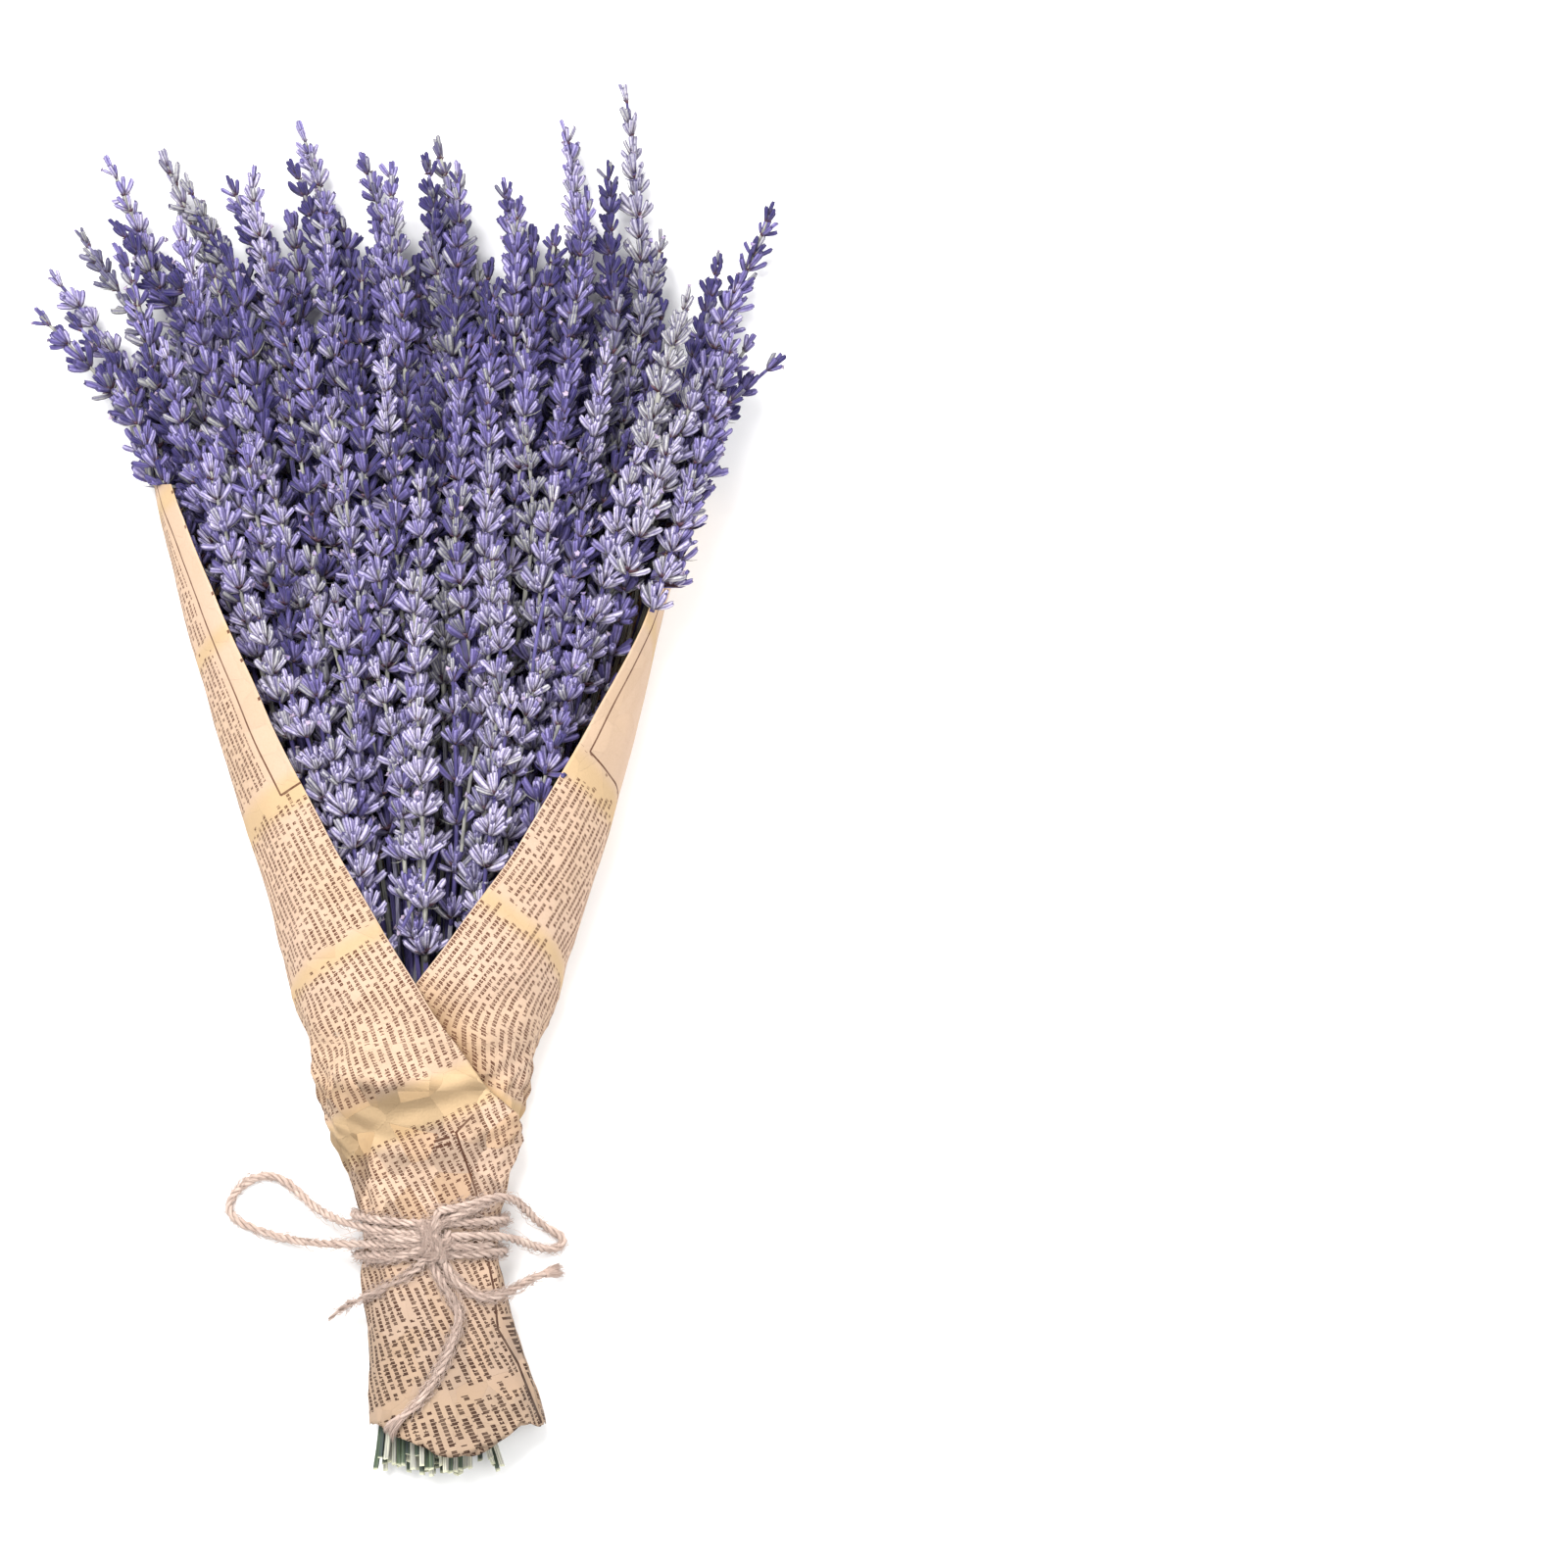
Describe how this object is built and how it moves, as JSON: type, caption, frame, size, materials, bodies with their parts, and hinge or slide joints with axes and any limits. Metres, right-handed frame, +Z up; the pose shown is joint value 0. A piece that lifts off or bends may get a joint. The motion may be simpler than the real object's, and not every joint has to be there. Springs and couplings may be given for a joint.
{
  "type": "bunch of dried lavender",
  "caption": "Bunch of dried lavender spikes on long stems, rolled in printed wrapping paper and tied with jute twine, lying on its back.",
  "frame": {"origin": "on the surface that the bunch lies on, under the middle of the bunch without its free twine", "axes": "+Y from the cut stems to the flower tips, +Z up from the surface to the open front of the wrap, +X to the right seen from above"},
  "size_m": [0.2256, 0.4248, 0.0572],
  "materials": {
    "lavender": "dry, velvety calyxes, pale violet to blue-grey with brown bracts",
    "stem": "dry, matte, grey-green",
    "wrapping_paper": "thin cream newsprint with dark print marks, softly creased",
    "jute_twine": "rough three-ply twist with loose fibres"
  },
  "bodies": {
    "root": {"paper_wrap": "wrapping_paper", "twine_band": "jute_twine", "stems_layer_1": "stem", "spike_1_01": "lavender", "spike_1_02": "lavender", "spike_1_03": "lavender", "spike_1_04": "lavender", "spike_1_05": "lavender", "spike_1_06": "lavender", "spike_1_07": "lavender", "spike_1_08": "lavender", "spike_1_09": "lavender", "spike_1_10": "lavender", "spike_1_11": "lavender", "stems_layer_2": "stem", "spike_2_01": "lavender", "spike_2_02": "lavender", "spike_2_03": "lavender", "spike_2_04": "lavender", "spike_2_05": "lavender", "spike_2_06": "lavender", "spike_2_07": "lavender", "spike_2_08": "lavender", "spike_2_09": "lavender", "spike_2_10": "lavender", "stems_layer_3": "stem", "spike_3_01": "lavender", "spike_3_02": "lavender", "spike_3_03": "lavender", "spike_3_04": "lavender", "spike_3_05": "lavender", "spike_3_06": "lavender", "spike_3_07": "lavender", "spike_3_08": "lavender", "stems_layer_4": "stem", "spike_4_01": "lavender", "spike_4_02": "lavender", "spike_4_03": "lavender", "spike_4_04": "lavender", "spike_4_05": "lavender", "spike_4_06": "lavender", "spike_4_07": "lavender", "stems_layer_5": "stem", "spike_5_01": "lavender", "spike_5_02": "lavender", "spike_5_03": "lavender", "spike_5_04": "lavender", "spike_5_05": "lavender", "stems_layer_6": "stem", "spike_6_01": "lavender", "spike_6_02": "lavender", "spike_6_03": "lavender", "twine_loop_left": "jute_twine", "twine_loop_right": "jute_twine", "twine_tail_right": "jute_twine", "twine_tail_long": "jute_twine", "twine_tail_left": "jute_twine"}
  },
  "joints": []
}
